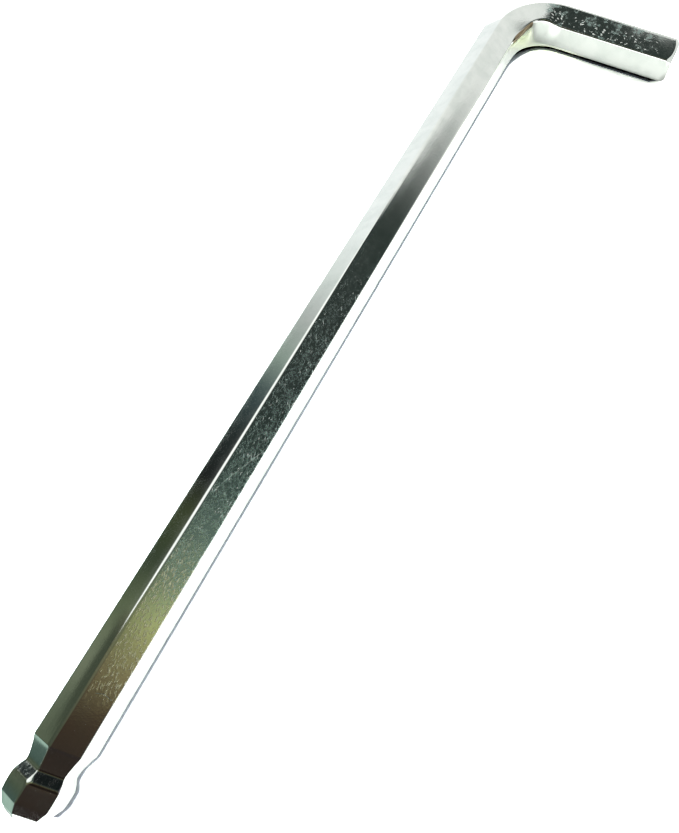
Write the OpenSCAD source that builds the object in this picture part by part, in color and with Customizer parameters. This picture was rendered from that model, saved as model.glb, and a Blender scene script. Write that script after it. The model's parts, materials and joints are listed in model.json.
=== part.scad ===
// Hex key with a ball end, bent from one length of plated hexagonal bar.
// It lies as it rests on a bench, on the lowest edges of its two arms, with
// the long arm along Y, the ball at -Y and the short arm pointing to +X.
// The origin is on the bench, under the middle of the whole key.

/* [Bar] */
// Width across the flats, which is the size of the key
across_flats = 6; // [5:0.1:8]
// Radius that drawing leaves on the six long edges of the bar
edge_radius = 0.45; // [0.2:0.05:0.7]

/* [Arms] */
// Long arm, from the outer flat of the short arm to the tip of the ball
long_length = 144; // [80:1:220]
// Short arm, from the outer flat of the long arm to its tip
short_length = 32; // [22:1:60]
// Radius of the bend, to the middle of the bar
bend_radius = 9.3; // [5:0.1:15]

/* [Short tip] */
// Depth of the turned chamfer below the flats, on the end face
tip_chamfer = 0.4; // [0.1:0.05:0.8]
// Slope of the turned chamfer, measured from the axis of the arm
tip_chamfer_angle = 40; // [25:1:60]

/* [Groove and neck] */
// Depth of the groove below the flats of the bar
groove_depth = 0.62; // [0.3:0.02:0.9]
// Length in which the groove comes down from the flats to the neck
groove_run = 2.25; // [1.4:0.05:4]
// Length of the straight neck between the groove and the ball's shoulder
neck_land = 0.25; // [0.1:0.05:1.5]

/* [Ball] */
// Length of the ball, from its tip to the foot of its shoulder
ball_length = 4.7; // [4.2:0.1:6]
// Distance from the tip to the widest place of the ball
widest_from_tip = 2.9; // [2.2:0.1:3.3]
// How much narrower than the bar the ball is, across its crowned faces
ball_ease = 0.2; // [0:0.02:0.3]
// How much less far than the bar's edges the corners of the ball reach
corner_ease = 0.1; // [0.01:0.01:0.2]
// Radius of the crown along the ball's faces and corners
crown_radius = 9; // [5:0.5:14]
// Slope of the shoulder's six faces, measured from the axis of the arm
shoulder_angle = 26; // [22:1:40]
// Slope to which the corners of the shoulder are turned
shoulder_turned_angle = 21; // [16:1:30]
// Clearance that turning keeps from the corners of the neck
turning_clearance = 0.05; // [0.02:0.01:0.1]

/* [Nose of the ball] */
// Length of the nose, from the tip to where its bevels meet the crowned faces
nose_length = 1.5; // [0.8:0.1:2]
// Slope of the nose's six bevels, measured from the axis of the arm
nose_angle = 29; // [20:1:45]
// Width across the flats of the nose's end face
tip_width = 3.4; // [2.6:0.1:3.8]
// Slope of the six small bevels that break the edge of the end face
tip_angle = 50; // [46:1:65]

/* [Hidden] */
plating = [0.79, 0.80, 0.77];
corners = 6;
corner_turn = 360 / corners;
edge_facets = 48;
round_facets = 180;
crown_facets = 300;
// Clear of the bar on every side, where a shape has to reach past it
reach = across_flats;
half_flats = across_flats / 2;
// Middle of each rounded edge, and how far the edge stands from the axis
edge_centre = (half_flats - edge_radius) / cos(corner_turn / 2);
corner_reach = edge_centre + edge_radius;
// Straight part of each arm, past the bend
bend_run = half_flats + bend_radius;
long_straight = long_length - bend_run;
short_straight = short_length - bend_run;
// Cutter of the groove: it is deepest at groove_bottom and runs out into the
// flats groove_run further up
neck_half = half_flats - groove_depth;
groove_bottom = ball_length + neck_land;
groove_radius = (groove_run * groove_run + groove_depth * groove_depth) / (2 * groove_depth);
// Half widths of the ball, across its faces and across its turned corners
ball_half = half_flats - ball_ease / 2;
ball_turned = corner_reach - corner_ease;
// Half width of the crowned faces where the nose begins, and the half width
// at the tip of which its bevels, and then the small bevels, would start
nose_before_widest = widest_from_tip - nose_length;
crown_at_nose = ball_half - crown_radius + sqrt(pow(crown_radius, 2) - pow(nose_before_widest, 2));
nose_half = crown_at_nose - nose_length * tan(nose_angle);
tip_half = tip_width / 2;
// What turning leaves at the foot of the shoulder, just clear of the neck
foot_turned = neck_half / cos(corner_turn / 2) + turning_clearance;

// Section of the bar: one corner points up, and flats face both sides
module bar_section() {
    polygon([
        for (corner = [0 : corners - 1], side = [-1, 1])
            let (turn = 90 + corner * corner_turn, tangent = turn + side * corner_turn / 2)
            [edge_centre * cos(turn) + edge_radius * cos(tangent),
             edge_centre * sin(turn) + edge_radius * sin(tangent)]
    ]);
    for (corner = [0 : corners - 1])
        rotate(90 + corner * corner_turn)
            translate([edge_centre, 0])
                circle(r = edge_radius, $fn = edge_facets);
}

// Both sides of a slope along the ball, narrow at the ball's tip or at its foot
module slope_side(half_width, angle, at_tip) {
    climb = ball_length * tan(angle);
    near = at_tip ? half_width : half_width + climb;
    far = at_tip ? half_width + climb : half_width;
    polygon([[0, -near], [ball_length, -far], [ball_length, far], [0, near]]);
}

// Ball seen from the side, its tip at x = 0: a crown, and the straight
// shoulder that comes down from it to the neck
module ball_side(widest, foot, foot_angle) {
    intersection() {
        slope_side(foot, foot_angle, false);
        intersection_for (side = [-1, 1])
            translate([widest_from_tip, side * (widest - crown_radius)])
                circle(r = crown_radius, $fn = crown_facets);
    }
}

// Side view of what is milled off above one flat: all round the ball, down
// to the neck, and the groove that runs out into the flat
module milled_off() {
    difference() {
        translate([-reach, 0])
            square([reach + groove_bottom + groove_radius, reach]);
        intersection() {
            ball_side(ball_half, neck_half, shoulder_angle);
            slope_side(nose_half, nose_angle, true);
            slope_side(tip_half, tip_angle, true);
        }
        translate([ball_length, -neck_half])
            square([neck_land + groove_run, 2 * neck_half]);
        difference() {
            translate([groove_bottom, -reach])
                square([2 * groove_radius, 3 * reach]);
            translate([groove_bottom, neck_half + groove_radius])
                circle(r = groove_radius, $fn = round_facets);
        }
    }
}

// Ring that is turned off the corners of the ball and its shoulder
module turned_off() {
    rotate_extrude($fn = round_facets)
        difference() {
            square([reach, ball_length]);
            rotate(90)
                mirror([0, 1])
                    ball_side(ball_turned, foot_turned, shoulder_turned_angle);
        }
}

// Long arm standing on the tip of its ball, up to the bend
module long_arm() {
    difference() {
        linear_extrude(height = long_straight) bar_section();
        for (flat = [0 : corners - 1])
            rotate(flat * corner_turn)
                rotate([0, -90, -90])
                    linear_extrude(height = 2 * reach, center = true) milled_off();
        turned_off();
    }
}

// Short arm standing on the bend, with its turned tip up
module short_arm() {
    face_radius = half_flats - tip_chamfer;
    chamfer_run = (reach - face_radius) / tan(tip_chamfer_angle);
    intersection() {
        linear_extrude(height = short_straight) bar_section();
        union() {
            cylinder(h = short_straight - chamfer_run, r = reach, $fn = round_facets);
            translate([0, 0, short_straight - chamfer_run])
                cylinder(h = chamfer_run, r1 = reach, r2 = face_radius, $fn = round_facets);
        }
    }
}

// Quarter turn that joins the arms, centred on the bend's own axis
module bend() {
    rotate_extrude(angle = 90, $fn = round_facets)
        translate([bend_radius, 0]) bar_section();
}

module hex_key() {
    middle = [short_length / 2, -long_length / 2, -corner_reach];
    color(plating)
        translate(-middle) {
            translate([half_flats, -long_length, 0])
                rotate([90, 0, 180]) long_arm();
            translate([bend_run, -bend_run, 0])
                rotate(90) bend();
            translate([bend_run, -half_flats, 0])
                rotate([90, 0, 90]) short_arm();
        }
}

hex_key();
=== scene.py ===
# %% [markdown]
# A hex key is one length of hexagonal steel bar. It is drawn through a die,
# cut, milled and turned to a ball at one end, bent once and nickel-plated.
# This notebook dresses it: it builds the bar again as a fine mesh with the
# soft edges of the real one, gives it the plated finish, and lights it.
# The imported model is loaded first. It is the frame: it fixes where the key
# lies and how large it is, and everything below is worked out from it.

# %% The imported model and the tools
import json
import math

import bmesh
import bpy
import numpy as np
from mathutils import Matrix, Vector


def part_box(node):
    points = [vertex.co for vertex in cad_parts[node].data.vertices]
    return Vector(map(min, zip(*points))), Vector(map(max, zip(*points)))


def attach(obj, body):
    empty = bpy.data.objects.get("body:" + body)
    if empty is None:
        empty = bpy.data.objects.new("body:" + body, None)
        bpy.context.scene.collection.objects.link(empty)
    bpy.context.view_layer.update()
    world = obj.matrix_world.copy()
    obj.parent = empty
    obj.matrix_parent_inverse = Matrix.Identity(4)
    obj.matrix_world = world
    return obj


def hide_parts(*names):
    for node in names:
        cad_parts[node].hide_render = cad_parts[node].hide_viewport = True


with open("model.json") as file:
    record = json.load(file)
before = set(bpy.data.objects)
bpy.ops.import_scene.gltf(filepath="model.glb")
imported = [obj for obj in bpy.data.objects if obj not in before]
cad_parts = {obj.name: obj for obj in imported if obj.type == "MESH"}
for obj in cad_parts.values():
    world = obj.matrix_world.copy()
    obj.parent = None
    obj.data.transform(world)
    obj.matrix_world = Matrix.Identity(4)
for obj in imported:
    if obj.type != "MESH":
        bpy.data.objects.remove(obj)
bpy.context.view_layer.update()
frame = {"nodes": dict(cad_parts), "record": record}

MM = 0.001
slots = [material["slot"] for material in frame["record"]["materials"]]
print("the frame holds", sorted(frame["nodes"]), "and slots", slots)

# %% [markdown]
# The camera hangs close over the ball end and looks down along the key, so
# the long arm narrows quickly towards the bend. A near camera is what makes
# a thin tool look large. Its optical axis doesn't pass through the middle of
# the picture, because the picture is cut from a larger one, and the shift
# says by how much. The place, the aim and the lens are real sizes.

# %% Camera
CAMERA_AT = Vector((16.13, -48.44, 71.2)) * MM
CAMERA_AIM = Vector((6.18, -23.76, 0.0)) * MM
CAMERA_ROLL = math.radians(3.18)
SENSOR = 36.0
LENS = 25.395
SHIFT = (-0.0659, 0.1)


def place_camera():
    data = bpy.data.cameras.new("camera")
    data.sensor_fit = "VERTICAL"
    data.sensor_height = SENSOR
    data.sensor_width = SENSOR
    data.lens = LENS
    data.shift_x, data.shift_y = SHIFT
    data.clip_start = MM
    camera = bpy.data.objects.new("camera", data)
    bpy.context.scene.collection.objects.link(camera)
    looking = (CAMERA_AIM - CAMERA_AT).to_track_quat("-Z", "Y").to_matrix().to_4x4()
    camera.matrix_world = Matrix.Translation(CAMERA_AT) @ looking @ Matrix.Rotation(CAMERA_ROLL, 4, "Z")
    bpy.context.scene.camera = camera
    return camera


camera = place_camera()
print("camera", [round(c / MM, 1) for c in camera.location], "mm from the origin, lens", LENS)

# %% [markdown]
# The driving sizes of the key. The two arms and the reach of the corners
# come from the frame's box. The rest are the sizes to which the bar is
# drawn and its ends are cut, in millimetres, because a toolmaker reads them
# so. The mesh is scaled to metres once, when it is made.

# %% Sizes of the bar and of its two ends
box_low, box_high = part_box("hex_key")
long_arm = (box_high.y - box_low.y) / MM
short_arm = (box_high.x - box_low.x) / MM
corner_reach = (box_high.z - box_low.z) / 2 / MM
half_flats = 3.0
bend_radius = 9.3
corner_angle = math.radians(60)
half_corner = corner_angle / 2
# The corner is an arc that touches both flats, so its radius follows from
# the flats and from how far the corner reaches
edge_radius = (half_flats - corner_reach * math.cos(half_corner)) / (1 - math.cos(half_corner))
edge_centre = corner_reach - edge_radius
# Short tip: a turned chamfer round a flat end face
chamfer_face = 2.6
chamfer_slope = math.tan(math.radians(40))
# Groove and neck
neck_half = 2.38
groove_run = 2.25
neck_land = 0.25
# Ball: crowned faces between a shoulder and a nose
ball_length = 4.7
widest = 2.9
ball_half = 2.9
ball_turned = corner_reach - 0.1
crown_radius = 9.0
shoulder_slope = math.tan(math.radians(26))
shoulder_turned_slope = math.tan(math.radians(21))
foot_turned = neck_half / math.cos(half_corner) + 0.05
# Nose: bevels that begin nose_length from the tip, and small ones round the end face
nose_length = 1.5
nose_slope = math.tan(math.radians(29))
tip_half = 1.7
tip_slope = math.tan(math.radians(50))
crown_at_nose = ball_half - crown_radius + math.sqrt(crown_radius ** 2 - (widest - nose_length) ** 2)
nose_half = crown_at_nose - nose_length * nose_slope

groove_bottom = ball_length + neck_land
groove_depth = half_flats - neck_half
groove_start = groove_bottom + groove_run
bend_run = half_flats + bend_radius
bend_starts = long_arm - bend_run
bend_ends = bend_starts + bend_radius * math.pi / 2
bar_length = bend_ends + short_arm - bend_run
print(f"arms {long_arm:.1f} and {short_arm:.1f} mm, {bar_length:.1f} mm of bar")
print(f"the edges are rounded to {edge_radius:.2f} mm")

# %% [markdown]
# Every section of the key is a hexagon with something taken off it, and it
# can be seen whole from its own axis. So the key is described by a radius
# for each distance along the bar and each turn about it. The milled flats
# stand flat_height from the axis, and nothing reaches past turned_height,
# which is what the lathe leaves. The section is the lower of the two, and a
# soft minimum rounds the edge where one cut meets the other, as plating and
# tumbling do on the real key.

# %% Heights of the milled flats and of the turned corners
MILLED_EDGE = 0.05
POLISHED_EDGE = 0.025
# The groove climbs almost straight from a small hollow, and is steepest at its lip
GROOVE_HOLLOW = 0.25
GROOVE_LIP = 0.15


def soft_min(a, b, blend):
    """The lower of a and b, rounded over blend where they cross."""
    mix = np.clip(0.5 + 0.5 * (b - a) / blend, 0.0, 1.0)
    return b + (a - b) * mix - blend * mix * (1.0 - mix)


def crown(height, s):
    """Arc along the ball, at its highest where the ball is widest."""
    return height - crown_radius + np.sqrt(np.maximum(crown_radius ** 2 - (s - widest) ** 2, 0.0))


def flat_height(s):
    """From the axis to the six milled or drawn flats, at s from the ball's tip."""
    nose = soft_min(tip_half + s * tip_slope, nose_half + s * nose_slope, MILLED_EDGE)
    ball = soft_min(nose, crown(ball_half, s), MILLED_EDGE)
    ball = soft_min(ball, neck_half + (ball_length - s) * shoulder_slope, MILLED_EDGE)
    ball = np.where(s > widest, -soft_min(-ball, -neck_half, MILLED_EDGE), ball)
    climb = np.clip((s - groove_bottom) / groove_run, 0.0, 1.2)
    straight = climb ** 2 * (1 + GROOVE_HOLLOW) / (climb + GROOVE_HOLLOW)
    groove = neck_half + groove_depth * (straight + GROOVE_LIP * (climb ** 8 - straight))
    return np.where(s < groove_bottom, ball, soft_min(groove, half_flats, POLISHED_EDGE / 2))


def turned_height(s):
    """From the axis to what the lathe leaves, at s from the ball's tip."""
    shoulder = foot_turned + (ball_length - s) * shoulder_turned_slope
    ball = soft_min(crown(ball_turned, s), shoulder, MILLED_EDGE)
    chamfer = chamfer_face + (bar_length - s) * chamfer_slope
    return np.where(s < ball_length, ball, np.maximum(chamfer, chamfer_face))


def section_radius(s, turn):
    """Radius of the section at s, for turns about the axis from the inner side of the L."""
    from_corner = (turn - math.radians(90) + half_corner) % corner_angle - half_corner
    from_flat = half_corner - np.abs(from_corner)
    flats = flat_height(s)
    arc = np.sqrt(np.maximum(edge_radius ** 2 - (edge_centre * np.sin(from_corner)) ** 2, 0.0))
    arc_reach = edge_centre * np.cos(from_corner) + arc
    on_arc = np.abs(from_corner) < math.atan2(edge_radius * math.sin(half_corner),
                                             edge_centre + edge_radius * math.cos(half_corner))
    drawn = np.where(on_arc, arc_reach, half_flats / np.cos(from_flat))
    lathe = soft_min(turned_height(s), flats / math.cos(half_corner) - POLISHED_EDGE, POLISHED_EDGE)
    return soft_min(np.minimum(flats / np.cos(from_flat), drawn), lathe, POLISHED_EDGE)


for at in (0.5, widest, ball_length, groove_bottom, groove_start, bend_starts, bar_length - 0.2):
    flat_now = float(section_radius(np.float64(at), np.radians(0.0)))
    corner_now = float(section_radius(np.float64(at), np.radians(90.0)))
    print(f"at {at:6.1f} mm: flats {flat_now:.2f} mm and corners {corner_now:.2f} mm from the axis")

# %% [markdown]
# Rings of points are now laid along the bar. They lie close together where
# the form changes fast, on the ball, the groove and the tip, and 0.4 mm
# apart on the straight bar, which leaves room for the faint unevenness of
# drawn steel. Both ends are closed with a rolled rim and a flat face.

# %% Where the rings lie
RIM = 0.06
RIM_STEPS = 4
BALL_STEP = 0.045
GROOVE_STEP = 0.07
BAR_STEP = 0.4
BEND_STEP = 0.25
FACE_SHARES = (0.35, 0.7)
# Rings that hold the sharp lip of the groove, and the room they take
LIP_RINGS = (-0.03, -0.01, 0.01, 0.03)
LIP_ROOM = 0.06
# Length of the short tip that has close rings, for its chamfer
CHAMFER_ROOM = 1.0


def spread(start, stop, step):
    """Even stations from start up to, but without, stop."""
    return np.linspace(start, stop, max(1, round((stop - start) / step)), endpoint=False)


def rim(end, inward):
    """A quarter roll from the end face onto the side: station, where its section is taken, and inset."""
    rolled = np.linspace(0.0, math.pi / 2, RIM_STEPS, endpoint=False)
    section = end + inward * RIM
    return [(end + inward * RIM * (1 - math.sin(r)), section, RIM * (1 - math.cos(math.pi / 2 - r)))
            for r in rolled]


def ring_plan():
    """For each ring: place along the bar, place of its section, inset, and share of its radius."""
    near, far = rim(0.0, 1.0), rim(bar_length, -1.0)
    plan = [(0.0, RIM, RIM, share) for share in FACE_SHARES]
    plan += [(place, shape, inset, 1.0) for place, shape, inset in near]
    chamfer_starts = bar_length - CHAMFER_ROOM
    lips = [groove_start + lip for lip in LIP_RINGS]
    stations = np.concatenate([
        spread(RIM, groove_bottom, BALL_STEP),
        spread(groove_bottom, groove_start - LIP_ROOM, GROOVE_STEP),
        lips,
        spread(groove_start + LIP_ROOM, bend_starts, BAR_STEP),
        spread(bend_starts, bend_ends, BEND_STEP),
        spread(bend_ends, chamfer_starts, BAR_STEP),
        spread(chamfer_starts, bar_length - RIM, BALL_STEP),
    ])
    plan += [(s, s, 0.0, 1.0) for s in stations]
    plan += [(place, shape, inset, 1.0) for place, shape, inset in reversed(far)]
    plan += [(bar_length, bar_length - RIM, RIM, share) for share in reversed(FACE_SHARES)]
    return np.array(plan)


plan = ring_plan()
print(len(plan), "rings")

# %% [markdown]
# A ring's points crowd at the six corners, because only there the section
# turns. A corner takes as wide an angle as its rounding does at that place,
# with some to spare, and the flats share what is left.

# %% How the points of a ring are shared out
CORNER_SHARES = np.linspace(-1.0, 1.0, 9)
FLAT_SHARES = np.array([0.06, 0.2, 0.35, 0.5, 0.65, 0.8, 0.94])
# A corner takes CORNER_SPARE times the angle of its rounding and CORNER_MORE, between two limits
CORNER_SPARE = 1.6
CORNER_NARROWEST, CORNER_WIDEST, CORNER_MORE = math.radians(1.5), math.radians(26), math.radians(0.8)


def corner_width(s):
    """Half the angle that a corner takes at s, with a little to spare."""
    flats = flat_height(s)
    milled_reach = flats / math.cos(half_corner) - POLISHED_EDGE
    reach = np.minimum(np.minimum(turned_height(s), milled_reach), corner_reach)
    sharp = half_corner - np.arccos(np.clip(flats / reach, -1.0, 1.0))
    return np.clip(CORNER_SPARE * sharp + CORNER_MORE, CORNER_NARROWEST, CORNER_WIDEST)


def ring_turns(s):
    """The turns of one ring's points, from the top corner all the way round."""
    width = float(corner_width(np.float64(s)))
    turns = []
    for corner in range(6):
        at = math.radians(90) + corner * corner_angle
        turns.extend(at + CORNER_SHARES * width)
        turns.extend(at + width + FLAT_SHARES * (corner_angle - 2 * width))
    return np.array(turns)


points_a_ring = len(ring_turns(bend_starts))
print(points_a_ring, "points a ring")

# %% [markdown]
# The axis of the bar runs straight, through a quarter circle, and straight
# again. Bending crowds the steel on the inside of the bend. Where the bend
# begins the wall swells below its crease, and from the middle on the crease
# is pinched towards the outer side and takes the wall with it. Each is a
# bell along the bar that moves the section by a few tenths of a millimetre.
# Drawn flats aren't perfect mirrors either: they are a little hollow or
# crowned, and a few long, shallow waves run along them.

# %% The axis, the pinch of the bend and the waves of the flats
PINCH = 0.8
PINCH_FROM, PINCH_TO, PINCH_MIDDLE = 3.0, 14.8, 0.52
SWELL = 0.3
SWELL_FROM, SWELL_TO, SWELL_MIDDLE = -3.0, 7.0, 0.48
# Share of the pinch that the middle of the wall follows
WALL_FOLLOWS = 0.85
# Share of the wall's half height over which the swell leans out
SWELL_LEAN = 0.3
BARREL = 0.02
WAVE_HEIGHT = 0.0035
WAVES = 9
# The drawn flats' unevenness begins past the groove, over this length
WAVES_BEGIN = 4.0
AXIS_MIDDLE = Vector((box_low.x / MM + half_flats, box_high.y / MM - half_flats, corner_reach))
waves_seed = np.random.default_rng(6)
wave_lengths = waves_seed.uniform(5.0, 22.0, (6, WAVES))
wave_phases = waves_seed.uniform(0.0, 2 * math.pi, (6, WAVES))


def axis_at(s):
    """Point of the axis at s, the way towards the inner side of the L, and the way along the bar."""
    turned = min(max(s - bend_starts, 0.0), bend_ends - bend_starts) / bend_radius
    centre = AXIS_MIDDLE + Vector((bend_radius, -bend_radius, 0.0))
    inner = Vector((math.cos(turned), -math.sin(turned), 0.0))
    along = Vector((math.sin(turned), math.cos(turned), 0.0))
    straight = min(s - bend_starts, 0.0) + max(s - bend_ends, 0.0)
    return centre - inner * bend_radius + along * straight, inner, along


def bell(s, start, stop, middle):
    """From 0 to 1 and back between start and stop, millimetres past the bend's start, highest at middle."""
    share = (s - bend_starts - start) / (stop - start)
    if share <= 0.0 or share >= 1.0:
        return 0.0
    warped = share ** (math.log(0.5) / math.log(middle))
    return math.sin(math.pi * warped) ** 2


def pinch_at(s):
    return PINCH * bell(s, PINCH_FROM, PINCH_TO, PINCH_MIDDLE)


def swell_at(s):
    return SWELL * bell(s, SWELL_FROM, SWELL_TO, SWELL_MIDDLE)


def wave_at(s, turns):
    """Rise of the six flats at s, in millimetres. The ball has none, and the hollow ends in the bend."""
    flat = np.floor((turns - math.radians(90)) / corner_angle).astype(int) % 6
    rise = np.sin(2 * math.pi * s / wave_lengths[flat] + wave_phases[flat]).sum(axis=1)
    edge_share = np.cos((turns - math.radians(90)) * 3) ** 2
    fade = np.clip((s - groove_start) / WAVES_BEGIN, 0.0, 1.0)
    barrel = BARREL * np.clip((bend_ends - s) / bend_radius, 0.0, 1.0)
    return (WAVE_HEIGHT * rise / math.sqrt(WAVES) * (1 - edge_share) - barrel * edge_share ** 2) * fade


print("the pinch is", [round(pinch_at(bend_starts + k), 2) for k in (2, 5, 7, 9, 12)], "mm along the bend")

# %% [markdown]
# With the plan in hand the mesh is one loop over the rings. Quads join each
# ring to the next, and a fan closes each end. A UV map holds the bar's own
# coordinates in millimetres: how far along it a point is, and how far round
# it, flat after flat. The finish needs them, because drawing lines run along
# the bar and round its bend with it, and wear sits on the ridges.

# %% Mesh of the key
FLAT_WIDTH = 2 * half_flats * math.tan(half_corner)
BAR_MAP = "along_and_round"


def ring_points(place, shape, inset, share):
    turns = ring_turns(shape)
    radius = (section_radius(np.full(len(turns), shape), turns) - inset) * share + wave_at(place, turns)
    middle, inner, along = axis_at(place)
    side, rise = radius * np.cos(turns), radius * np.sin(turns)
    pinched, swollen = pinch_at(place), swell_at(place)
    if pinched or swollen:
        on_wall = np.abs(np.arctan2(rise, side)) < half_corner
        up_the_wall = np.clip(np.abs(rise) / (FLAT_WIDTH / 2), 0.0, 1.0)
        along_the_flat = np.clip(side / half_flats, 0.0, 1.0)
        follows = WALL_FOLLOWS + (1 - WALL_FOLLOWS) * up_the_wall ** 2
        pushed = pinched * np.where(on_wall, follows, along_the_flat)
        lifted = pinched * np.where(on_wall, up_the_wall, along_the_flat)
        lean = np.clip((1 - up_the_wall) / SWELL_LEAN, 0.0, 1.0)
        swell = swollen * np.where(on_wall, lean ** 2 * (3 - 2 * lean), 0.0)
        side = side - pushed * math.cos(half_corner) + swell
        rise = rise + np.sign(rise) * lifted * math.sin(half_corner)
    return [(middle + inner * float(a) + Vector((0, 0, float(b)))) * MM for a, b in zip(side, rise)], turns


def round_the_bar(turns):
    """Distance round the bar in millimetres, each flat taking its full width."""
    sector = (turns - math.radians(90)) / corner_angle
    flat = np.floor(sector)
    from_middle = (sector - flat - 0.5) * corner_angle
    return (flat + 0.5) * FLAT_WIDTH + half_flats * np.tan(from_middle)


def build_key():
    mesh = bmesh.new()
    uv = mesh.loops.layers.uv.new(BAR_MAP)
    rings, rounds = [], []
    for place, shape, inset, share in plan:
        points, turns = ring_points(place, shape, inset, share)
        rings.append([mesh.verts.new(p) for p in points])
        rounds.append(np.append(round_the_bar(turns), round_the_bar(turns[:1] + 2 * math.pi)))
    for r in range(len(rings) - 1):
        for k in range(points_a_ring):
            following = (k + 1) % points_a_ring
            face = mesh.faces.new((rings[r][k], rings[r][following],
                                   rings[r + 1][following], rings[r + 1][k]))
            face.material_index = 1 if plan[r][0] < groove_start else 0
            corners = ((r, k), (r, k + 1), (r + 1, k + 1), (r + 1, k))
            for loop, (ring, column) in zip(face.loops, corners):
                loop[uv].uv = (plan[ring][0], rounds[ring][column])
    for end, milled in ((0, 1), (len(rings) - 1, 0)):
        middle = mesh.verts.new(axis_at(plan[end][0])[0] * MM)
        for k in range(points_a_ring):
            face = mesh.faces.new((middle, rings[end][k], rings[end][(k + 1) % points_a_ring]))
            face.material_index = milled
            for loop, column in zip(face.loops, (k, k, k + 1)):
                loop[uv].uv = (plan[end][0], rounds[end][column])
    bmesh.ops.recalc_face_normals(mesh, faces=mesh.faces)
    for face in mesh.faces:
        face.smooth = True
    data = bpy.data.meshes.new("hex_key_bar")
    mesh.to_mesh(data)
    mesh.free()
    made = bpy.data.objects.new("hex_key_bar", data)
    bpy.context.scene.collection.objects.link(made)
    return made


key = build_key()
print("the key has", len(key.data.vertices), "points and", len(key.data.polygons), "faces")

# %% [markdown]
# The finish is built from node trees. Writing them by hand takes many
# lines, so one helper adds a node, sets its options and fills its inputs.
# An input is either a value or another node's output. A second helper opens
# a node group with named sockets, so that an effect is built once and used
# by more than one material.

# %% Helpers for node trees


def add_node(tree, kind, inputs=None, **options):
    made = tree.nodes.new(kind)
    for name, value in options.items():
        setattr(made, name, value)
    for name, value in (inputs or {}).items():
        if isinstance(value, bpy.types.NodeSocket):
            tree.links.new(value, made.inputs[name])
        else:
            made.inputs[name].default_value = value
    return made


def calculate(tree, operation, *values):
    return add_node(tree, "ShaderNodeMath", dict(enumerate(values)), operation=operation).outputs[0]


def remap(tree, value, low, high, to_low=0.0, to_high=1.0):
    made = add_node(tree, "ShaderNodeMapRange",
                    {"Value": value, "From Min": low, "From Max": high, "To Min": to_low, "To Max": to_high},
                    interpolation_type="SMOOTHSTEP")
    return made.outputs["Result"]


def remap_linear(tree, value, low, high, to_low=0.0, to_high=1.0):
    made = add_node(tree, "ShaderNodeMapRange",
                    {"Value": value, "From Min": low, "From Max": high, "To Min": to_low, "To Max": to_high})
    return made.outputs["Result"]


def mix_colour(tree, factor, first, second, blend="MIX"):
    made = add_node(tree, "ShaderNodeMix", {0: factor, 6: first, 7: second},
                    data_type="RGBA", blend_type=blend)
    return made.outputs[2]


def open_group(name, inputs, outputs):
    """A new node group, its input node and its output node. Inputs are names with their kind and value."""
    group = bpy.data.node_groups.new(name, "ShaderNodeTree")
    for label, (kind, value) in inputs.items():
        socket = group.interface.new_socket(name=label, in_out="INPUT", socket_type=kind)
        if value is not None:
            socket.default_value = value
    for label, kind in outputs.items():
        group.interface.new_socket(name=label, in_out="OUTPUT", socket_type=kind)
    return group, group.nodes.new("NodeGroupInput"), group.nodes.new("NodeGroupOutput")


def use_group(tree, group, inputs):
    made = tree.nodes.new("ShaderNodeGroup")
    made.node_tree = group
    for name, value in inputs.items():
        if isinstance(value, bpy.types.NodeSocket):
            tree.links.new(value, made.inputs[name])
        else:
            made.inputs[name].default_value = value
    return made


VECTOR, NUMBER = "NodeSocketVector", "NodeSocketFloat"
print("node helpers ready")

# %% [markdown]
# Plated steel shows six things up close, and each is one group here. It
# has a fine grain, because nickel copies and softens the pickled steel
# beneath. It has drawing lines along the bar. Handling leaves short
# scratches in many directions, and ridges lose their lustre first. Tarnish
# comes in curled flecks, which are the level lines of a noise, cut short by
# a second one. And a few marks can be told apart, each a stroke from one
# point to another. The scratches are the cells of a Voronoi texture,
# stretched until each cell's heart is a thin dash, and a random value of
# the cell decides whether it is there.

# %% Node groups of the plated finish


def grain_group():
    group, given, result = open_group(
        "nickel_grain",
        {"Place": (VECTOR, None), "Size": (NUMBER, 0.35), "Patch Size": (NUMBER, 4.0)},
        {"Height": NUMBER, "Patches": NUMBER})
    fine = add_node(group, "ShaderNodeTexNoise", {
        "Vector": given.outputs["Place"], "Scale": calculate(group, "DIVIDE", 1.0, given.outputs["Size"]),
        "Detail": 2.5, "Roughness": 0.6, "Distortion": 0.4})
    patches = add_node(group, "ShaderNodeTexNoise", {
        "Vector": given.outputs["Place"],
        "Scale": calculate(group, "DIVIDE", 1.0, given.outputs["Patch Size"]),
        "Detail": 3.0, "Roughness": 0.55})
    group.links.new(fine.outputs["Fac"], result.inputs["Height"])
    group.links.new(remap(group, patches.outputs["Fac"], 0.35, 0.7), result.inputs["Patches"])
    return group


def draw_line_group():
    group, given, result = open_group(
        "drawing_lines",
        {"Bar Place": (VECTOR, None), "Length": (NUMBER, 9.0), "Width": (NUMBER, 0.09)},
        {"Height": NUMBER})
    stretch = add_node(group, "ShaderNodeCombineXYZ", {
        "X": calculate(group, "DIVIDE", 1.0, given.outputs["Length"]),
        "Y": calculate(group, "DIVIDE", 1.0, given.outputs["Width"]), "Z": 1.0})
    placed = add_node(group, "ShaderNodeVectorMath", {0: given.outputs["Bar Place"], 1: stretch.outputs[0]},
                      operation="MULTIPLY")
    lines = add_node(group, "ShaderNodeTexNoise", {
        "Vector": placed.outputs[0], "Scale": 1.0, "Detail": 3.0, "Roughness": 0.6})
    group.links.new(lines.outputs["Fac"], result.inputs["Height"])
    return group


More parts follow.
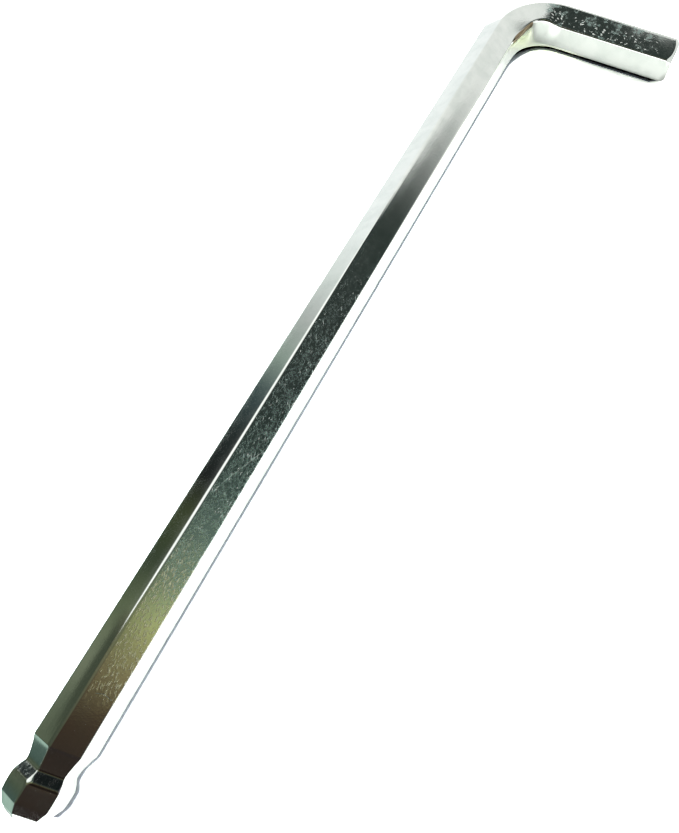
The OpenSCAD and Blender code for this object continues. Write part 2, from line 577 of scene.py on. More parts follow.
def scratch_group():
    group, given, result = open_group(
        "short_scratches",
        {"Bar Place": (VECTOR, None), "Angle": (NUMBER, 0.0), "Spacing Along": (NUMBER, 4.0),
         "Spacing Across": (NUMBER, 0.3), "Share": (NUMBER, 0.5), "Thickness": (NUMBER, 0.12)},
        {"Mask": NUMBER})
    bend = add_node(group, "ShaderNodeTexNoise", {
        "Vector": given.outputs["Bar Place"], "Scale": 0.5, "Detail": 1.0})
    bent = add_node(group, "ShaderNodeVectorMath", {0: bend.outputs["Color"], "Scale": 0.8},
                    operation="SCALE")
    moved = add_node(group, "ShaderNodeVectorMath", {0: given.outputs["Bar Place"], 1: bent.outputs[0]})
    turned = add_node(group, "ShaderNodeVectorRotate", {
        "Vector": moved.outputs[0], "Angle": given.outputs["Angle"]}, rotation_type="Z_AXIS")
    stretch = add_node(group, "ShaderNodeCombineXYZ", {
        "X": calculate(group, "DIVIDE", 1.0, given.outputs["Spacing Along"]),
        "Y": calculate(group, "DIVIDE", 1.0, given.outputs["Spacing Across"]), "Z": 0.0})
    cells = add_node(group, "ShaderNodeVectorMath", {0: turned.outputs[0], 1: stretch.outputs[0]},
                     operation="MULTIPLY")
    hearts = add_node(group, "ShaderNodeTexVoronoi", {"Vector": cells.outputs[0], "Scale": 1.0},
                      voronoi_dimensions="2D")
    chance = add_node(group, "ShaderNodeSeparateColor", {"Color": hearts.outputs["Color"]})
    there = calculate(group, "LESS_THAN", chance.outputs[0], given.outputs["Share"])
    thick = calculate(group, "MULTIPLY", given.outputs["Thickness"],
                      remap(group, chance.outputs[1], 0.0, 1.0, 0.4, 1.3))
    inside = calculate(group, "SUBTRACT", 1.0, calculate(group, "DIVIDE", hearts.outputs["Distance"], thick))
    dash = add_node(group, "ShaderNodeClamp", {"Value": inside})
    group.links.new(calculate(group, "MULTIPLY", dash.outputs[0], there), result.inputs["Mask"])
    return group


def fleck_group():
    group, given, result = open_group(
        "curled_flecks",
        {"Bar Place": (VECTOR, None), "Size": (NUMBER, 0.45), "Stretch": (NUMBER, 1.0),
         "Thickness": (NUMBER, 0.12), "Share": (NUMBER, 0.5)},
        {"Mask": NUMBER})
    along = calculate(group, "MULTIPLY", given.outputs["Size"], given.outputs["Stretch"])
    shrink = add_node(group, "ShaderNodeCombineXYZ", {
        "X": calculate(group, "DIVIDE", 1.0, along),
        "Y": calculate(group, "DIVIDE", 1.0, given.outputs["Size"]), "Z": 1.0})
    placed = add_node(group, "ShaderNodeVectorMath", {0: given.outputs["Bar Place"], 1: shrink.outputs[0]},
                      operation="MULTIPLY").outputs[0]
    curls = add_node(group, "ShaderNodeTexNoise", {
        "Vector": placed, "Scale": 1.0, "Detail": 1.5, "Roughness": 0.5, "Distortion": 0.8})
    off_the_line = calculate(group, "ABSOLUTE", calculate(group, "SUBTRACT", curls.outputs["Fac"], 0.5))
    line = calculate(group, "SUBTRACT", 1.0,
                     calculate(group, "DIVIDE", off_the_line, given.outputs["Thickness"]))
    line = add_node(group, "ShaderNodeClamp", {"Value": line}).outputs[0]
    elsewhere = add_node(group, "ShaderNodeVectorMath", {0: placed, 1: (37.0, 11.0, 5.0)}).outputs[0]
    gate = add_node(group, "ShaderNodeTexNoise", {"Vector": elsewhere, "Scale": 0.9, "Detail": 2.0})
    cut = remap_linear(group, given.outputs["Share"], 0.0, 1.0, 0.75, 0.3)
    opened = calculate(group, "MULTIPLY", calculate(group, "SUBTRACT", gate.outputs["Fac"], cut), 9.0)
    opened = add_node(group, "ShaderNodeClamp", {"Value": opened}).outputs[0]
    group.links.new(calculate(group, "MULTIPLY", line, opened), result.inputs["Mask"])
    return group


def mark_group():
    group, given, result = open_group(
        "single_mark",
        {"Bar Place": (VECTOR, None), "From": (VECTOR, None), "To": (VECTOR, None),
         "Half Width": (NUMBER, 0.07)},
        {"Mask": NUMBER})

    def vector(operation, *values):
        return add_node(group, "ShaderNodeVectorMath", dict(enumerate(values)), operation=operation)

    length = vector("SUBTRACT", given.outputs["To"], given.outputs["From"]).outputs[0]
    there = vector("SUBTRACT", given.outputs["Bar Place"], given.outputs["From"]).outputs[0]
    share = calculate(group, "DIVIDE", vector("DOT_PRODUCT", there, length).outputs["Value"],
                      vector("DOT_PRODUCT", length, length).outputs["Value"])
    share = add_node(group, "ShaderNodeClamp", {"Value": share}).outputs[0]
    nearest = add_node(group, "ShaderNodeVectorMath", {0: length, "Scale": share}, operation="SCALE")
    away = vector("LENGTH", vector("SUBTRACT", there, nearest.outputs[0]).outputs[0]).outputs["Value"]
    depth = calculate(group, "SUBTRACT", 1.0, calculate(group, "DIVIDE", away, given.outputs["Half Width"]))
    group.links.new(add_node(group, "ShaderNodeClamp", {"Value": depth}).outputs[0], result.inputs["Mask"])
    return group


def ridge_group():
    group, given, result = open_group(
        "ridge_wear",
        {"Bar Place": (VECTOR, None), "Width": (NUMBER, 0.3), "Unevenness": (NUMBER, 0.15)},
        {"Mask": NUMBER})
    split = add_node(group, "ShaderNodeSeparateXYZ", {0: given.outputs["Bar Place"]})
    to_ridge = calculate(group, "PINGPONG", split.outputs["Y"], FLAT_WIDTH / 2)
    noise = add_node(group, "ShaderNodeTexNoise", {
        "Vector": given.outputs["Bar Place"], "Scale": 2.2, "Detail": 4.0})
    uneven = calculate(group, "MULTIPLY", calculate(group, "SUBTRACT", noise.outputs["Fac"], 0.5),
                       given.outputs["Unevenness"])
    edge = calculate(group, "ADD", given.outputs["Width"], uneven)
    worn = calculate(group, "SUBTRACT", 1.0, calculate(group, "DIVIDE", to_ridge, edge))
    clamped = add_node(group, "ShaderNodeClamp", {"Value": worn})
    group.links.new(clamped.outputs[0], result.inputs["Mask"])
    return group


GRAIN, DRAW_LINES, SCRATCHES, RIDGES = grain_group(), draw_line_group(), scratch_group(), ridge_group()
FLECKS, MARKS = fleck_group(), mark_group()
print("groups:", sorted(g.name for g in bpy.data.node_groups))

# %% [markdown]
# Both finishes are made of the same masks, so these helpers come first.
# Several sets of scratches, or several marks, become one mask by taking the
# strongest. A mask is then kept to a stretch of the bar by a product, since
# the key isn't equally worn all along.

# %% Masks that both finishes use


def material_tree(name):
    material = bpy.data.materials.new(name)
    material.use_nodes = True
    tree = material.node_tree
    tree.nodes.clear()
    shader = add_node(tree, "ShaderNodeBsdfPrincipled", {"Metallic": 1.0})
    output = tree.nodes.new("ShaderNodeOutputMaterial")
    tree.links.new(shader.outputs[0], output.inputs["Surface"])
    place = tree.nodes.new("ShaderNodeTexCoord").outputs["Object"]
    in_mm = add_node(tree, "ShaderNodeVectorMath", {0: place, "Scale": 1 / MM}, operation="SCALE").outputs[0]
    bar_place = add_node(tree, "ShaderNodeUVMap", uv_map=BAR_MAP).outputs["UV"]
    return material, tree, shader, in_mm, bar_place


def scratch_mask(tree, bar_place, sets):
    """Several sets of scratches, each with its angle, spacings, share and thickness, as one mask."""
    total = 0.0
    for angle, along, across, share, thickness in sets:
        made = use_group(tree, SCRATCHES, {
            "Bar Place": bar_place, "Angle": math.radians(angle), "Spacing Along": along,
            "Spacing Across": across, "Share": share, "Thickness": thickness})
        total = calculate(tree, "MAXIMUM", total, made.outputs["Mask"])
    return total


def fleck_mask(tree, bar_place, size, stretch, thickness, share):
    made = use_group(tree, FLECKS, {"Bar Place": bar_place, "Size": size, "Stretch": stretch,
                                    "Thickness": thickness, "Share": share})
    return made.outputs["Mask"]


def mark_mask(tree, bar_place, marks):
    """The marks that can be told apart on the key, each from one point to another on the bar's map."""
    total = 0.0
    for start, stop, half_width in marks:
        made = use_group(tree, MARKS, {"Bar Place": bar_place, "From": (*start, 0.0), "To": (*stop, 0.0),
                                       "Half Width": half_width})
        total = calculate(tree, "MAXIMUM", total, made.outputs["Mask"])
    return total


def add_up(tree, *terms):
    """Sum of pairs of a value and its factor."""
    total = 0.0
    for value, factor in terms:
        total = calculate(tree, "MULTIPLY_ADD", value, factor, total)
    return total


def between(tree, value, start, full, still, stop):
    """From 0 at start to 1 at full, and back from still to stop."""
    return calculate(tree, "MULTIPLY", remap(tree, value, start, full), remap(tree, value, stop, still))


def wire_finish(tree, shader, colour, rough, height):
    """Joins a finish's colour, its roughness and its height in millimetres to the shader."""
    tree.links.new(colour, shader.inputs["Base Color"])
    tree.links.new(rough, shader.inputs["Roughness"])
    bump = add_node(tree, "ShaderNodeBump", {"Height": height, "Strength": 1.0, "Distance": MM})
    tree.links.new(bump.outputs[0], shader.inputs["Normal"])


print("masks ready")

# %% [markdown]
# The plated bar. Nickel is a metal, so Metallic is 1 and its colour is the colour of what it reflects: a
# grey with a touch of green here. The grain and the drawing lines go into the height, and the scratches dull
# the plating where they cut it, so that they light up on a dark reflection and sink into a bright one, as on
# the real key. Flecks, clouds and specks of tarnish lie on the upper right flat only, each kind on its own
# stretch. Two colours are painted light. The short dashes are real scratches in their bumps, but their
# bright yellow colour is a painted highlight. The pinched crease of the bend is painted brown as painted
# shade.

# %% Material of the drawn and plated bar
NICKEL = (0.79, 0.83, 0.78, 1.0)
NICKEL_DULL = (0.70, 0.75, 0.70, 1.0)
NICKEL_TARNISH = (0.50, 0.70, 0.64, 1.0)
TARNISH_SHARE = 0.9
# Bright yellow of the short dashes, a painted highlight over scratches that are real in their bumps
NICKEL_PAINTED_GLINT = (0.95, 0.93, 0.66, 1.0)
# Brown of the painted shade in the crease of the bend
CREASE_PAINTED_SHADE = (0.24, 0.19, 0.12, 1.0)
# Round the bar, the flat that faces up and to the right begins here
UPPER_FLAT = 5 * FLAT_WIDTH
# Along the bar from the ball: where a kind of mark begins, is full, begins to fade and has gone
CURLED = (21.0, 28.0, 50.0, 96.0)
DASHED = (11.0, 15.0, 26.0, 34.0)
GLINTING = (26.0, 32.0, 60.0, 90.0)
CLOUDED = (bend_ends - 4.5, bend_ends - 3.5, bar_length - 6.0, bar_length - 2.0)
# Sets of short scratches: angle, spacing along and across, share of them that is there, thickness
SPECKS = ((20.0, 0.9, 0.4, 0.4, 0.24), (-40.0, 1.0, 0.45, 0.3, 0.2))
DASHES = ((-14.0, 1.0, 0.24, 0.75, 0.4), (11.0, 0.8, 0.22, 0.65, 0.4))
GLINTS = ((-26.0, 2.4, 0.34, 0.2, 0.2), (14.0, 1.8, 0.3, 0.22, 0.22))
BAR_SCRATCHES = ((-24.0, 4.0, 0.7, 0.12, 0.07), (62.0, 3.0, 0.9, 0.12, 0.07))
# Where a long scratch, two nicks and a fine arc lie: along the bar from the ball, round it, half width
LONG_ARM_MARKS = (
    ((39.5, 19.8), (45.2, 17.7), 0.07),
    ((31.6, 19.6), (32.2, 19.5), 0.09),
    ((33.2, 19.4), (33.6, 19.2), 0.09),
    ((13.3, 19.6), (13.5, 18.8), 0.035),
    ((13.5, 18.8), (13.2, 17.8), 0.035))
# Along the pinched crease of the bend the colour is brown: painted shade in the fold
CREASE_SHADE_MARKS = (((bend_starts - 0.5, 16.98), (bend_starts + 7.0, 17.05), 0.55),)


def plated_bar():
    material, tree, shader, in_mm, bar_place = material_tree("plated_bar")
    split = add_node(tree, "ShaderNodeSeparateXYZ", {0: bar_place})
    along, round_bar = split.outputs["X"], split.outputs["Y"]
    on_upper = remap(tree, round_bar, UPPER_FLAT - 0.1, UPPER_FLAT + 0.1)
    by_crease = between(tree, round_bar, UPPER_FLAT + 0.1, UPPER_FLAT + 0.4,
                        UPPER_FLAT + 1.4, UPPER_FLAT + 2.4)

    def on_stretch(mask, stretch):
        """The mask on one stretch of the upper flat."""
        kept = calculate(tree, "MULTIPLY", on_upper, between(tree, along, *stretch))
        return calculate(tree, "MULTIPLY", mask, kept)

    grain = use_group(tree, GRAIN, {"Place": in_mm, "Size": 0.2, "Patch Size": 3.5})
    lines = use_group(tree, DRAW_LINES, {"Bar Place": bar_place, "Length": 8.0, "Width": 0.1})
    ridges = use_group(tree, RIDGES, {"Bar Place": bar_place, "Width": 0.22, "Unevenness": 0.25})
    curls = on_stretch(fleck_mask(tree, bar_place, 0.36, 1.5, 0.12, 0.85), CURLED)
    clouds = on_stretch(fleck_mask(tree, bar_place, 0.7, 1.4, 0.2, 0.58), CLOUDED)
    specks = on_stretch(scratch_mask(tree, bar_place, SPECKS), CLOUDED)
    specks = calculate(tree, "MULTIPLY", specks, by_crease)
    dashes = on_stretch(scratch_mask(tree, bar_place, DASHES), DASHED)
    glints = on_stretch(scratch_mask(tree, bar_place, GLINTS), GLINTING)
    scratches = on_stretch(scratch_mask(tree, bar_place, BAR_SCRATCHES), CURLED)
    marks = mark_mask(tree, bar_place, LONG_ARM_MARKS)
    # Painted shade: a brown strip along the pinched crease of the bend
    painted_shade = remap(tree, mark_mask(tree, bar_place, CREASE_SHADE_MARKS), 0.1, 0.5)
    tarnish = calculate(tree, "MULTIPLY", calculate(tree, "ADD", curls, clouds), TARNISH_SHARE)
    colour = mix_colour(tree, grain.outputs["Patches"], NICKEL, NICKEL_DULL)
    colour = mix_colour(tree, tarnish, colour, NICKEL_TARNISH)
    # The dashes are coloured bright yellow as painted highlights
    colour = mix_colour(tree, dashes, colour, NICKEL_PAINTED_GLINT)
    colour = mix_colour(tree, painted_shade, colour, CREASE_PAINTED_SHADE)
    rough = remap(tree, grain.outputs["Patches"], 0.0, 1.0, 0.06, 0.1)
    rough = add_up(tree, (rough, 1.0), (scratches, 0.3), (marks, 0.3), (curls, 0.34), (clouds, 0.26),
                   (dashes, 0.5), (glints, 0.3), (ridges.outputs["Mask"], 0.06))
    grain_height = remap_linear(tree, on_upper, 0.0, 1.0, 0.002, 0.004)
    height = add_up(tree, (grain.outputs["Height"], grain_height), (lines.outputs["Height"], 0.0015),
                    (curls, 0.006), (dashes, 0.007), (glints, 0.016), (specks, 0.035),
                    (scratches, -0.006), (marks, -0.012))
    wire_finish(tree, shader, colour, rough, height)
    return material


key.data.materials.append(plated_bar())
print("finish of the bar:", key.data.materials[0].name)

# %% [markdown]
# The milled end is duller and finer in grain, because a cutter has passed over it before plating. On the
# upper flat its shoulder, a hollow, is painted near black as painted shade, with curled flecks in it.

# %% Material of the milled end
# Near black of the painted shade on the shoulder
SHOULDER_PAINTED_SHADE = (0.17, 0.16, 0.17, 1.0)
# From the ball's tip: where the flecks, and the painted shade, begin, are full, begin to fade and have gone
FLECKED = (3.55, 3.7, ball_length - 0.1, ball_length + 0.1)
SHADE_ON_SHOULDER = (3.35, 3.5, 4.8, 4.95)
END_SCRATCHES = ((70.0, 2.0, 0.5, 0.15, 0.07),)


def milled_end():
    material, tree, shader, in_mm, bar_place = material_tree("milled_end")
    split = add_node(tree, "ShaderNodeSeparateXYZ", {0: bar_place})
    along, round_bar = split.outputs["X"], split.outputs["Y"]
    on_upper = remap(tree, round_bar, UPPER_FLAT - 0.1, UPPER_FLAT + 0.15)
    grain = use_group(tree, GRAIN, {"Place": in_mm, "Size": 0.16, "Patch Size": 1.2})
    lines = use_group(tree, DRAW_LINES, {"Bar Place": bar_place, "Length": 2.5, "Width": 0.16})
    ridges = use_group(tree, RIDGES, {"Bar Place": bar_place, "Width": 0.12, "Unevenness": 0.1})
    flecks = fleck_mask(tree, bar_place, 0.28, 1.0, 0.14, 0.55)
    flecks = calculate(tree, "MULTIPLY", flecks, between(tree, along, *FLECKED))
    scratches = scratch_mask(tree, bar_place, END_SCRATCHES)
    # Painted shade: the shoulder's upper flat is darkened towards near black
    painted_shade = calculate(tree, "MULTIPLY", on_upper, between(tree, along, *SHADE_ON_SHOULDER))
    colour = mix_colour(tree, grain.outputs["Patches"], NICKEL, NICKEL_DULL)
    colour = mix_colour(tree, painted_shade, colour, SHOULDER_PAINTED_SHADE)
    rough = remap(tree, grain.outputs["Patches"], 0.0, 1.0, 0.08, 0.14)
    rough = add_up(tree, (rough, 1.0), (scratches, 0.15), (flecks, 0.2), (ridges.outputs["Mask"], 0.05))
    height = add_up(tree, (grain.outputs["Height"], 0.002), (lines.outputs["Height"], 0.004),
                    (flecks, 0.003), (scratches, -0.003))
    wire_finish(tree, shader, colour, rough, height)
    return material


key.data.materials.append(milled_end())
print("finishes:", [m.name for m in key.data.materials])

# %% [markdown]
# A mirror-bright tool shows the room more than itself, so the room is part
# of the likeness. The key lies on a white sheet under a plain white dome.
# The low left side of the dome is dark, in tones that change from the near
# end of the room to the far one, and the near end is darkest. High on the
# left the dome is brighter than white. The camera's own rays see plain
# white, so all this shows in reflections only.

# %% Room
ROOM_WHITE = (1.0, 1.0, 1.0, 1.0)
ROOM_BRIGHT = (1.4, 1.4, 1.4, 1.0)
NEAR_SIDE = (0.035, 0.026, 0.024, 1.0)
DOME = 0.95
# The low left side, by the Y of the way that is looked, from the near end to the far one
LEFT_SIDE = (
    (-0.45, (0.06, 0.10, 0.085)), (-0.30, (0.08, 0.105, 0.07)), (-0.18, (0.15, 0.175, 0.12)),
    (-0.10, (0.20, 0.225, 0.155)), (-0.02, (0.14, 0.17, 0.10)), (0.06, (0.05, 0.068, 0.042)),
    (0.14, (0.06, 0.075, 0.035)), (0.21, (0.018, 0.02, 0.02)), (0.30, (0.025, 0.034, 0.034)),
    (0.37, (0.06, 0.09, 0.095)), (0.43, (0.32, 0.39, 0.35)), (0.50, (0.55, 0.57, 0.57)),
    (0.56, (0.84, 0.88, 0.88)), (0.64, (1.12, 1.14, 1.17)))


def fill_ramp(ramp, stops):
    """Gives a colour ramp its stops, each a position and a colour."""
    while len(ramp.elements) < len(stops):
        ramp.elements.new(0.5)
    for element, (at, tone) in zip(ramp.elements, stops):
        element.position = at
        element.color = (*tone, 1.0)


def build_room():
    world = bpy.data.worlds.new("studio_room")
    bpy.context.scene.world = world
    world.use_nodes = True
    tree = world.node_tree
    tree.nodes.clear()
    way = tree.nodes.new("ShaderNodeTexCoord").outputs["Generated"]
    split = add_node(tree, "ShaderNodeSeparateXYZ", {0: way})
    ramp = add_node(tree, "ShaderNodeValToRGB", {"Fac": remap_linear(tree, split.outputs["Y"], -1.0, 1.0)})
    fill_ramp(ramp.color_ramp, [((at + 1) / 2, tone) for at, tone in LEFT_SIDE])
    to_left = remap(tree, split.outputs["X"], -0.05, -0.35)
    low_down = remap(tree, split.outputs["Z"], 0.30, 0.12)
    dark_side = calculate(tree, "MULTIPLY", to_left, low_down)
    tone = mix_colour(tree, dark_side, ROOM_WHITE, ramp.outputs[0])
    near_side = remap(tree, split.outputs["Y"], -0.30, -0.50)
    not_left = remap(tree, split.outputs["X"], -0.62, -0.35)
    tone = mix_colour(tree, calculate(tree, "MULTIPLY", near_side, not_left), tone, NEAR_SIDE)
    high_left = calculate(tree, "MULTIPLY", remap(tree, split.outputs["X"], -0.15, -0.4),
                          remap(tree, split.outputs["Z"], 0.4, 0.6))
    tone = mix_colour(tree, high_left, tone, ROOM_BRIGHT)
    dome = add_node(tree, "ShaderNodeBackground", {"Color": tone, "Strength": DOME})
    seen = add_node(tree, "ShaderNodeBackground", {"Color": ROOM_WHITE, "Strength": 1.0})
    path = tree.nodes.new("ShaderNodeLightPath")
    both = add_node(tree, "ShaderNodeMixShader", {
        0: path.outputs["Is Camera Ray"], 1: dome.outputs[0], 2: seen.outputs[0]})
    output = tree.nodes.new("ShaderNodeOutputWorld")
    tree.links.new(both.outputs[0], output.inputs["Surface"])


build_room()
print("room:", bpy.context.scene.world.name)

# %% [markdown]
# The sheet does three jobs. The camera sees it as bright white paper. The key's low walls mirror it, and
# there it has other tones to the left, to the right and in the bend: painted reflections of what the real
# walls mirror besides paper. They are brighter than white beside the long arm and in the inner corner,
# dimmer beside the short arm as painted shade, and teal, darker far out, to the left.
# And it is dark where the key comes close to it. No lamp draws so thin a
# line, so the sheet darkens by its distance from the axis of the key, for
# the camera's own rays only.

# %% White sheet
SHEET_HALF = 1.5
SHEET_WHITE = 0.86
SHEET_SEEN = 3.6
# From the key's axis the sheet is black up to CONTACT_BLACK, dim up to CONTACT_DIM and white past
# CONTACT_CLEAR. Beside the short arm all of it is CONTACT_NARROWED times as narrow
CONTACT_BLACK = 1.2
CONTACT_DIM = 2.5
CONTACT_CLEAR = 2.9
CONTACT_NARROWED = 2.0
DIM_SHARE = 0.13
# Where the narrowing begins and is full, as distances from the bend's centre towards the long arm
NARROWING = (6.5, 2.5)
# How much the shade draws in at the nose, and where it ends at both tips, from the tip into the key
NOSE_DRAWN_IN = 0.6
BALL_TIP_FADE = (0.1, -0.8)
SHORT_TIP_FADE = (2.4, 0.6)
CONTACT_TINT = (0.9, 0.96, 1.12)
# Tones that the key's walls mirror, painted reflections: brighter than white on the right and in the inner
# corner, dimmer by the short arm as painted shade, teal to the left
MIRRORED_RIGHT = (2.0, 2.0, 2.02, 1.0)
MIRRORED_SHORT = (0.93, 0.95, 0.93, 1.0)
MIRRORED_CORNER = (2.5, 2.5, 2.2, 1.0)
MIRRORED_LEFT = (0.34, 0.47, 0.41, 1.0)
MIRRORED_FAR_BEND = (1.1, 1.15, 1.15, 1.0)
MIRRORED_FAR_LEFT = (0.07, 0.11, 0.095, 1.0)


def flat_panel(name, x_low, x_high, y_low, y_high, height):
    data = bpy.data.meshes.new(name)
    corners = [(x_low, y_low, height), (x_high, y_low, height),
               (x_high, y_high, height), (x_low, y_high, height)]
    data.from_pydata(corners, [], [(0, 1, 2, 3)])
    made = bpy.data.objects.new(name, data)
    bpy.context.scene.collection.objects.link(made)
    return made


def contact_shade(tree, x, y):
    """From 0 under the key to 1 on the open sheet, by the distance from the L that the key's axis draws."""
    to_inside = calculate(tree, "SUBTRACT", AXIS_MIDDLE.x + bend_radius, x)
    to_short = calculate(tree, "SUBTRACT", y, AXIS_MIDDLE.y - bend_radius)
    from_centre = add_node(tree, "ShaderNodeCombineXYZ", {
        "X": calculate(tree, "MAXIMUM", to_inside, 0.0), "Y": calculate(tree, "MAXIMUM", to_short, 0.0)})
    radius = add_node(tree, "ShaderNodeVectorMath", {0: from_centre.outputs[0]}, operation="LENGTH")
    away = calculate(tree, "ABSOLUTE", calculate(tree, "SUBTRACT", radius.outputs["Value"], bend_radius))
    narrowed = remap(tree, to_inside, *NARROWING, 1.0, CONTACT_NARROWED)
    tip, end = box_low.y / MM, box_high.x / MM
    in_groove = between(tree, y, tip + groove_start, tip + groove_bottom + 0.1,
                        tip + ball_length - 0.5, tip + widest)
    narrower = calculate(tree, "MULTIPLY", in_groove, groove_depth)
    at_nose = remap_linear(tree, y, tip + nose_length, tip)
    narrower = calculate(tree, "MULTIPLY_ADD", at_nose, NOSE_DRAWN_IN, narrower)
    past_tip = remap_linear(tree, y, *(tip + inside for inside in BALL_TIP_FADE))
    past_end = remap_linear(tree, x, *(end - inside for inside in SHORT_TIP_FADE))
    away = add_up(tree, (away, narrowed), (narrower, 1.0),
                  (past_tip, CONTACT_CLEAR), (past_end, CONTACT_CLEAR))
    dim = remap_linear(tree, away, CONTACT_BLACK, CONTACT_DIM, 0.0, DIM_SHARE)
    return calculate(tree, "ADD", dim, remap(tree, away, CONTACT_DIM, CONTACT_CLEAR, 0.0, 1.0 - DIM_SHARE))


def sheet_material():
    material = bpy.data.materials.new("white_sheet")
    material.use_nodes = True
    tree = material.node_tree
    tree.nodes.clear()
    path = tree.nodes.new("ShaderNodeLightPath")
    place = tree.nodes.new("ShaderNodeTexCoord").outputs["Object"]
    in_mm = add_node(tree, "ShaderNodeVectorMath", {0: place, "Scale": 1 / MM}, operation="SCALE").outputs[0]
    split = add_node(tree, "ShaderNodeSeparateXYZ", {0: in_mm})
    x, y = split.outputs["X"], split.outputs["Y"]
    # Glossy rays see painted reflections, with tones set by place on the sheet
    by_short = calculate(tree, "MULTIPLY", remap(tree, x, -8.0, -5.0), remap(tree, y, 48.0, 56.0))
    mirrored = mix_colour(tree, by_short, MIRRORED_RIGHT, MIRRORED_SHORT)
    in_corner = calculate(tree, "MULTIPLY", remap(tree, x, 2.0, -2.0), remap(tree, y, 63.5, 66.0))
    mirrored = mix_colour(tree, in_corner, mirrored, MIRRORED_CORNER)
    far_left = calculate(tree, "MULTIPLY", remap(tree, x, -34.0, -52.0), remap(tree, y, 10.0, -30.0))
    left = mix_colour(tree, remap(tree, y, -20.0, 30.0), MIRRORED_LEFT, MIRRORED_FAR_BEND)
    left = mix_colour(tree, far_left, left, MIRRORED_FAR_LEFT)
    mirrored = mix_colour(tree, remap(tree, x, box_low.x / MM + 3, box_low.x / MM - 3), mirrored, left)
    white = (SHEET_WHITE, SHEET_WHITE, SHEET_WHITE, 1.0)
    tone = mix_colour(tree, path.outputs["Is Glossy Ray"], white, mirrored)
    paper = add_node(tree, "ShaderNodeBsdfDiffuse", {"Color": tone})
    shade = contact_shade(tree, x, y)
    shaded = [SHEET_SEEN * part for part in CONTACT_TINT]
    plain = (SHEET_SEEN, SHEET_SEEN, SHEET_SEEN, 1.0)
    lit = mix_colour(tree, shade, (0.0, 0.0, 0.0, 1.0), mix_colour(tree, shade, (*shaded, 1.0), plain))
    seen = add_node(tree, "ShaderNodeBsdfDiffuse", {"Color": lit})
    both = add_node(tree, "ShaderNodeMixShader", {
        0: path.outputs["Is Camera Ray"], 1: paper.outputs[0], 2: seen.outputs[0]})
    output = tree.nodes.new("ShaderNodeOutputMaterial")
    tree.links.new(both.outputs[0], output.inputs["Surface"])
    return material


sheet = flat_panel("white_sheet", -SHEET_HALF, SHEET_HALF, -SHEET_HALF, SHEET_HALF, 0.0)
sheet.data.materials.append(sheet_material())
print("sheet of", 2 * SHEET_HALF, "m")

# %% [markdown]
# The upper flats mirror what hangs over the key. That is a dark panel,
# which ends over the bend, where the flats turn pale. To the left it ends
# close to the key, except near the ball, where it reaches far out. Its
# right part glows from brown through olive to grey-green and near black
# along its length, which is the run of tones on the long arm's right flat.
# Only reflections see the panel, and it casts no shadow.

# %% Dark panel over the key
PANEL_HEIGHT = 71 * MM
PANEL_LEFT, PANEL_RIGHT = -720 * MM, 140 * MM
PANEL_NEAR, PANEL_FAR = -200 * MM, 200 * MM
PANEL_DARK = (0.036, 0.046, 0.043, 1.0)
PANEL_BROWN = (0.035, 0.022, 0.016, 1.0)
PANEL_OLIVE = (0.075, 0.10, 0.065, 1.0)
# What the panel's right part shows, by the place along the key, in millimetres
GLOW_REACH = (-100.0, 50.0)
PANEL_GLOW = (
    (-88.0, (0.035, 0.026, 0.022)), (-76.0, (0.06, 0.04, 0.025)), (-64.0, (0.29, 0.24, 0.12)),
    (-52.0, (0.47, 0.50, 0.22)), (-40.0, (0.26, 0.33, 0.23)), (-28.0, (0.13, 0.19, 0.165)),
    (-12.0, (0.040, 0.066, 0.058)), (6.0, (0.024, 0.037, 0.034)), (30.0, (0.028, 0.038, 0.035)))


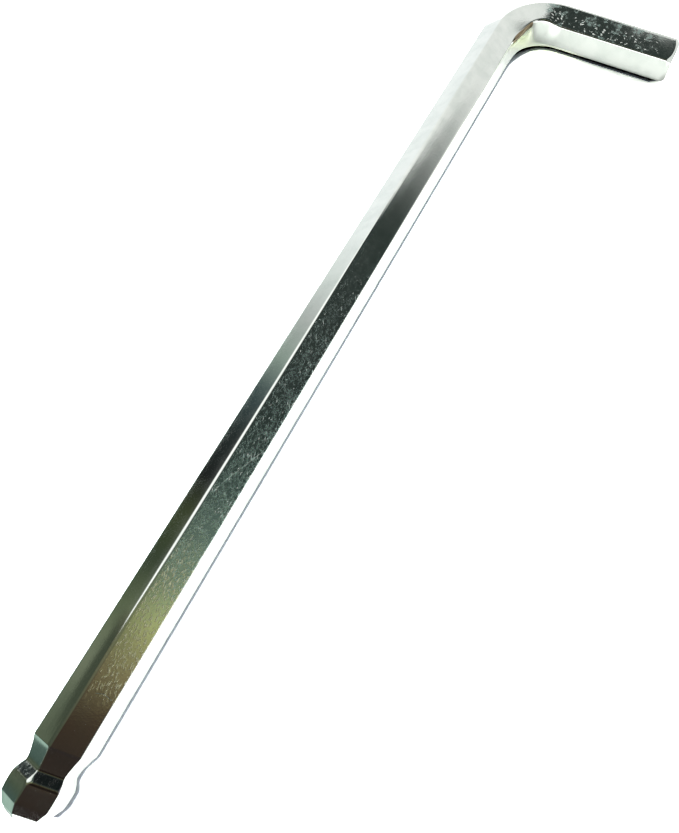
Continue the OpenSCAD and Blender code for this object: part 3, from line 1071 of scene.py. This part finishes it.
def panel_material():
    material = bpy.data.materials.new("dark_panel")
    material.use_nodes = True
    tree = material.node_tree
    tree.nodes.clear()
    place = tree.nodes.new("ShaderNodeTexCoord").outputs["Object"]
    in_mm = add_node(tree, "ShaderNodeVectorMath", {0: place, "Scale": 1 / MM}, operation="SCALE").outputs[0]
    split = add_node(tree, "ShaderNodeSeparateXYZ", {0: in_mm})
    x, y = split.outputs["X"], split.outputs["Y"]
    far_edge = calculate(tree, "ADD", remap(tree, x, 12.0, 40.0, 70.0, 82.0),
                         remap(tree, x, 5.0, -5.0, 0.0, 5.0))
    softness = remap(tree, x, 18.0, 42.0, 3.0, 90.0)
    past_edge = calculate(tree, "DIVIDE", calculate(tree, "SUBTRACT", y, far_edge), softness)
    inside_far = remap(tree, past_edge, 1.0, 0.0)
    left_edge = add_up(tree, (remap(tree, y, -32.0, -58.0, -8.0, -70.0), 1.0),
                       (remap(tree, y, 30.0, 55.0, 0.0, -20.0), 1.0),
                       (remap(tree, y, -54.0, -70.0, 0.0, -620.0), 1.0))
    inside_left = remap(tree, calculate(tree, "SUBTRACT", x, left_edge), -8.0, 4.0)
    dark = calculate(tree, "MULTIPLY", inside_far, inside_left)
    brown = remap(tree, y, -50.0, -75.0)
    near = mix_colour(tree, remap(tree, x, -20.0, 10.0), PANEL_OLIVE, PANEL_BROWN)
    tone = mix_colour(tree, brown, PANEL_DARK, near)
    first, last = GLOW_REACH
    reflected = add_node(tree, "ShaderNodeValToRGB", {"Fac": remap_linear(tree, y, first, last)})
    fill_ramp(reflected.color_ramp, [((at - first) / (last - first), glow) for at, glow in PANEL_GLOW])
    to_right = remap(tree, x, 12.0, 60.0, 0.35, 1.15)
    tone = add_node(tree, "ShaderNodeMix", {0: to_right, 6: tone, 7: reflected.outputs[0]},
                    data_type="RGBA", clamp_factor=False).outputs[2]
    lit = add_node(tree, "ShaderNodeEmission", {"Color": tone, "Strength": 1.0})
    clear = tree.nodes.new("ShaderNodeBsdfTransparent")
    both = add_node(tree, "ShaderNodeMixShader", {0: dark, 1: clear.outputs[0], 2: lit.outputs[0]})
    output = tree.nodes.new("ShaderNodeOutputMaterial")
    tree.links.new(both.outputs[0], output.inputs["Surface"])
    return material


panel = flat_panel("dark_panel", PANEL_LEFT, PANEL_RIGHT, PANEL_NEAR, PANEL_FAR, PANEL_HEIGHT)
panel.data.materials.append(panel_material())
panel.visible_camera = False
panel.visible_diffuse = False
panel.visible_shadow = False
print("panel", round(PANEL_HEIGHT / MM), "mm over the sheet")

# %% [markdown]
# One soft lamp stands far beyond the bend, to the left. It is weak beside
# the even light of the dome, and the plating doesn't mirror it.

# %% Lamp
LAMP_AT = Vector((-160.0, 330.0, 380.0)) * MM
LAMP_SIZE = 260 * MM
LAMP_POWER = 1.6


def place_lamp():
    data = bpy.data.lights.new("soft_lamp", "AREA")
    data.shape = "DISK"
    data.size = LAMP_SIZE
    data.energy = LAMP_POWER
    lamp = bpy.data.objects.new("soft_lamp", data)
    bpy.context.scene.collection.objects.link(lamp)
    lamp.location = LAMP_AT
    lamp.rotation_euler = (-LAMP_AT).to_track_quat("-Z", "Y").to_euler()
    return lamp


lamp = place_lamp()
lamp.visible_glossy = False
bpy.context.scene.view_settings.view_transform = "Standard"
print("lamp of", LAMP_POWER, "W")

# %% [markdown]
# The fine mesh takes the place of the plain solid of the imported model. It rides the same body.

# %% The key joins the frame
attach(key, "root")
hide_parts("hex_key")
print("hex_key is replaced by", key.name)
